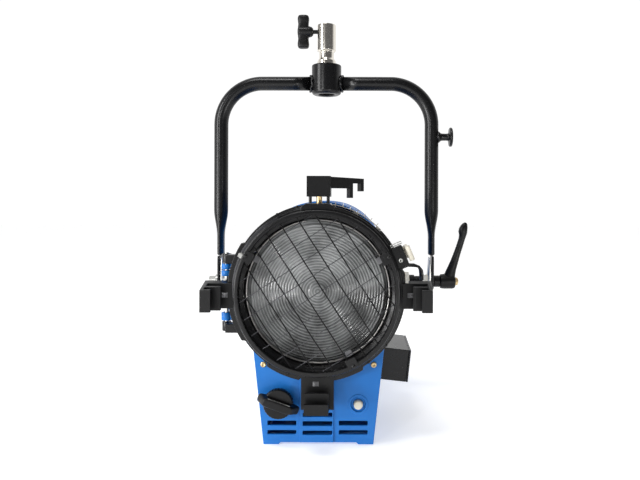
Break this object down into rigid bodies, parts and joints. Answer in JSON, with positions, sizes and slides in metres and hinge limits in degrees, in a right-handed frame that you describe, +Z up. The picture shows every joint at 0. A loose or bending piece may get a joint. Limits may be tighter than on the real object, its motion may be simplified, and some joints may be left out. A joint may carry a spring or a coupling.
{
  "type": "fresnel spotlight",
  "caption": "Studio fresnel spotlight with an arched housing, hinged lens door with wire guard, tube yoke, clamp spigot and focus knob.",
  "frame": {"origin": "on the surface that the feet stand on, straight below the tilt axis, on the spigot's axis", "axes": "+Z up, -Y the way the light goes, +X to the right of a person who looks into the lens"},
  "size_m": [0.3896, 0.37, 0.5765],
  "materials": {
    "blue_paint": "satin blue powder coat",
    "black_paint": "satin black powder coat",
    "black_plastic": "fine-textured black plastic",
    "nickel": "polished nickel",
    "zinc": "bright zinc plating",
    "brass": "yellow zinc plating or plain brass",
    "steel": "plain steel",
    "ivory_plastic": "cream",
    "ceramic": "unglazed white ceramic",
    "lens_glass": "clear heat-resistant glass",
    "lamp_glass": "clear quartz",
    "mirror": "polished aluminium"
  },
  "bodies": {
    "head": {"front_casting": "blue_paint", "rear_casting": "blue_paint", "side_panel_left": "blue_paint", "side_panel_right": "blue_paint", "top_cover": "blue_paint", "vent_baffle": "black_paint", "bottom_plate": "blue_paint", "rear_support": "steel", "guide_rod": "ivory_plastic", "front_screw_left": "brass", "front_screw_right": "brass", "junction_box": "black_paint", "junction_lid": "black_paint", "lid_screw": "black_plastic", "cable_gland": "black_plastic", "gland_nut": "black_plastic", "trunnion_left": "black_paint", "trunnion_right": "black_paint", "friction_disc_left": "ivory_plastic", "friction_disc_right": "ivory_plastic", "pivot_bolt_left": "zinc", "pivot_bolt_right": "brass", "pivot_spacer": "black_plastic", "pivot_washer": "zinc", "hinge_pin": "zinc", "catch_keeper": "zinc"},
    "yoke": {"yoke_collar": "black_paint", "spigot": "nickel", "spigot_bolt": "zinc", "safety_post": "black_paint", "yoke_tube_left": "black_paint", "yoke_tube_right": "black_paint", "yoke_strap_left": "black_paint", "yoke_strap_right": "black_paint", "pivot_sleeve_left": "zinc", "pivot_sleeve_right": "zinc"},
    "clamp_screw": {"wing_screw": "black_plastic"},
    "clamp_tip": {"clamp_pad": "brass"},
    "tilt_lever_core": {"lever_insert": "steel"},
    "tilt_lever_handle": {"lever_handle": "black_plastic"},
    "focus_drive": {"focus_spindle": "steel", "focus_knob": "black_plastic"},
    "carriage": {"lamp_carriage": "steel", "lamp_socket": "ceramic", "halogen_lamp": "lamp_glass", "reflector": "mirror"},
    "lens_door": {"door_ring": "black_paint", "bracket_left": "black_plastic", "bracket_right": "black_plastic", "bracket_bottom": "black_plastic", "fresnel_lens": "lens_glass", "lens_ring": "nickel", "lens_clip_1": "black_paint", "lens_clip_2": "black_paint", "lens_clip_3": "black_paint", "wire_guard": "steel", "catch_block": "black_paint"},
    "top_latch_post": {"latch_post": "brass"},
    "top_latch_arm": {"latch_arm": "black_plastic"},
    "door_catch": {"catch_lever": "ivory_plastic"}
  },
  "joints": [
    {"name": "yoke_tilt", "type": "hinge", "parent": "head", "child": "yoke", "pos_m": [0, 0, 0.176], "axis": [1, 0, 0], "range_deg": [-110, 45]},
    {"name": "clamp_turn", "type": "hinge", "parent": "yoke", "child": "clamp_screw", "pos_m": [0, 0, 0.551], "axis": [1, 0, 0], "range_deg": [0, 720]},
    {"name": "clamp_tip_slide", "type": "slide", "parent": "yoke", "child": "clamp_tip", "axis": [1, 0, 0], "range_m": [0, 0.003]},
    {"name": "tilt_lever_turn", "type": "hinge", "parent": "head", "child": "tilt_lever_core", "pos_m": [0.1715, 0, 0.176], "axis": [1, 0, 0], "range_deg": [-90, 90]},
    {"name": "tilt_lever_lift", "type": "slide", "parent": "tilt_lever_core", "child": "tilt_lever_handle", "axis": [1, 0, 0], "range_m": [0, 0.005], "stiffness_N_per_m": 400, "springref_m": -0.003},
    {"name": "focus_turn", "type": "hinge", "parent": "head", "child": "focus_drive", "pos_m": [-0.0474, -0.173, 0.0537], "axis": [0, 1, 0], "range_deg": [-630, 630]},
    {"name": "focus_slide", "type": "slide", "parent": "head", "child": "carriage", "axis": [0, 1, 0], "range_m": [-0.035, 0.035]},
    {"name": "door_hinge", "type": "hinge", "parent": "head", "child": "lens_door", "pos_m": [-0.113, -0.168, 0.189], "axis": [0, 0, -1], "range_deg": [0, 95]},
    {"name": "latch_lift", "type": "slide", "parent": "lens_door", "child": "top_latch_post", "axis": [0, 0, 1], "range_m": [-0.007, 0]},
    {"name": "latch_swing", "type": "hinge", "parent": "top_latch_post", "child": "top_latch_arm", "pos_m": [0, -0.168, 0.294], "axis": [0, 0, 1], "range_deg": [-120, 0]},
    {"name": "catch_swing", "type": "hinge", "parent": "lens_door", "child": "door_catch", "pos_m": [0.1089, -0.1935, 0.23522], "axis": [0.3907, 0, -0.9205], "range_deg": [0, 20], "stiffness_Nm_per_rad": 0.3}
  ],
  "couplings": [
    {"joint": "clamp_tip_slide", "follows": "clamp_turn", "m_per_rad": 0.00023849},
    {"joint": "focus_turn", "follows": "focus_slide", "rad_per_m": 313.85}
  ]
}
